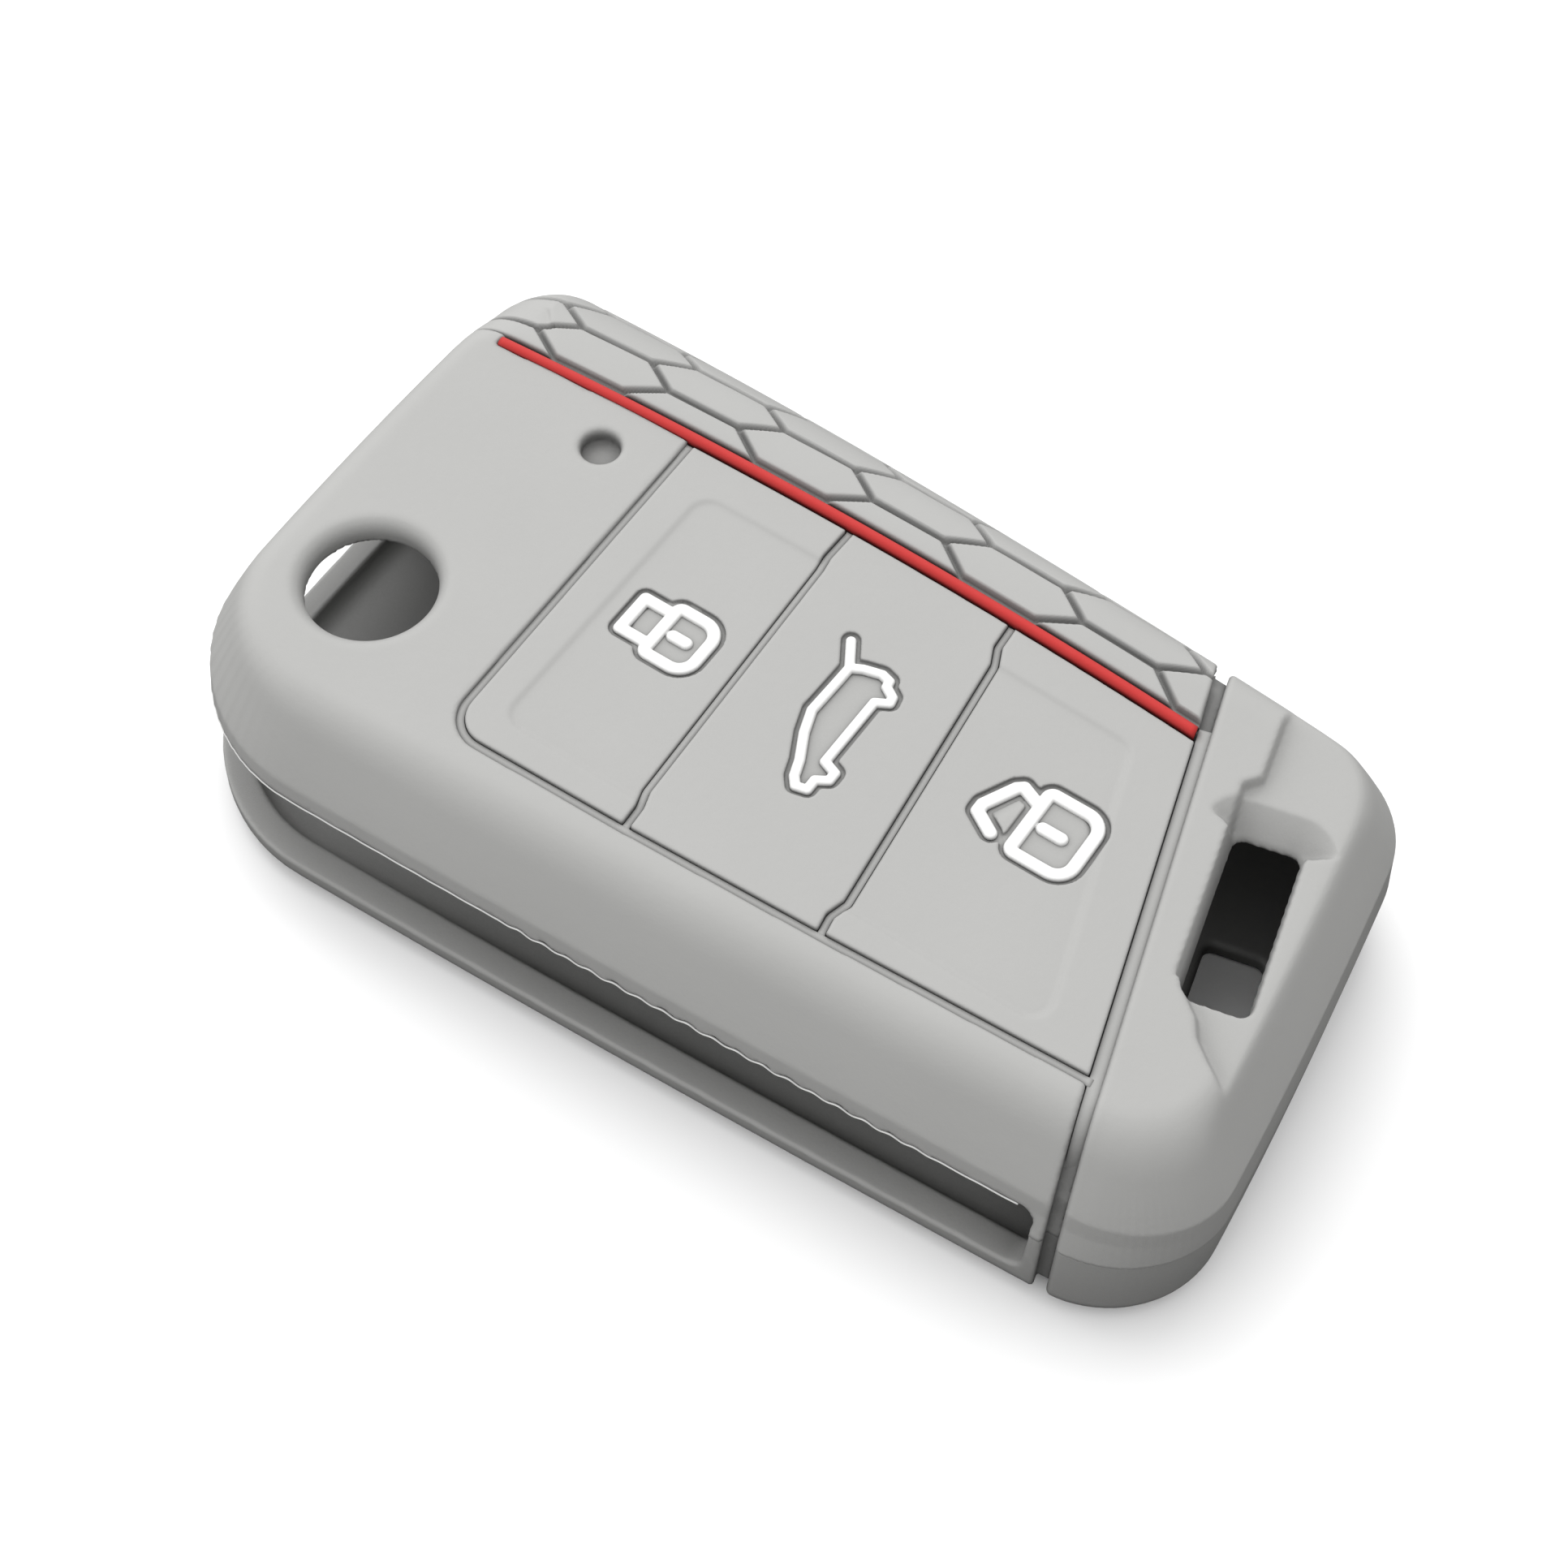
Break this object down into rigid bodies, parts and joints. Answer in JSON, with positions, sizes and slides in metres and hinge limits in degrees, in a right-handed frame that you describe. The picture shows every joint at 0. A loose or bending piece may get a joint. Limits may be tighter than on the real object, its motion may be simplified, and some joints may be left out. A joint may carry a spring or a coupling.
{
  "type": "key fob cover",
  "caption": "Soft silicone cover for a folding car key, with push pads, a flip-button hole, a side slot for the blade and a key-ring slot.",
  "frame": {"origin": "middle of the overall size in X and Y, on the back face", "axes": "+X to the key-ring end, +Y to the honeycomb side, +Z out of the button face"},
  "size_m": [0.0834, 0.049, 0.0179],
  "materials": {
    "silicone_grey": "matt moulded silicone",
    "silicone_red": "matt moulded silicone",
    "silicone_white": "matt moulded silicone"
  },
  "bodies": {
    "cover": {"front_shell": "silicone_grey", "back_shell": "silicone_grey", "ring_cap_front": "silicone_grey", "ring_cap_back": "silicone_grey", "red_stripe": "silicone_red", "honeycomb_grip": "silicone_grey"},
    "lock_button": {"lock_pad": "silicone_grey", "lock_icon": "silicone_white"},
    "trunk_button": {"trunk_pad": "silicone_grey", "trunk_icon": "silicone_white"},
    "unlock_button": {"unlock_pad": "silicone_grey", "unlock_icon": "silicone_white"}
  },
  "joints": [
    {"name": "lock_press", "type": "slide", "parent": "cover", "child": "lock_button", "axis": [0, 0, -1], "range_m": [0, 0.0005], "stiffness_N_per_m": 2000},
    {"name": "trunk_press", "type": "slide", "parent": "cover", "child": "trunk_button", "axis": [0, 0, -1], "range_m": [0, 0.0005], "stiffness_N_per_m": 2000},
    {"name": "unlock_press", "type": "slide", "parent": "cover", "child": "unlock_button", "axis": [0, 0, -1], "range_m": [0, 0.0005], "stiffness_N_per_m": 2000}
  ]
}
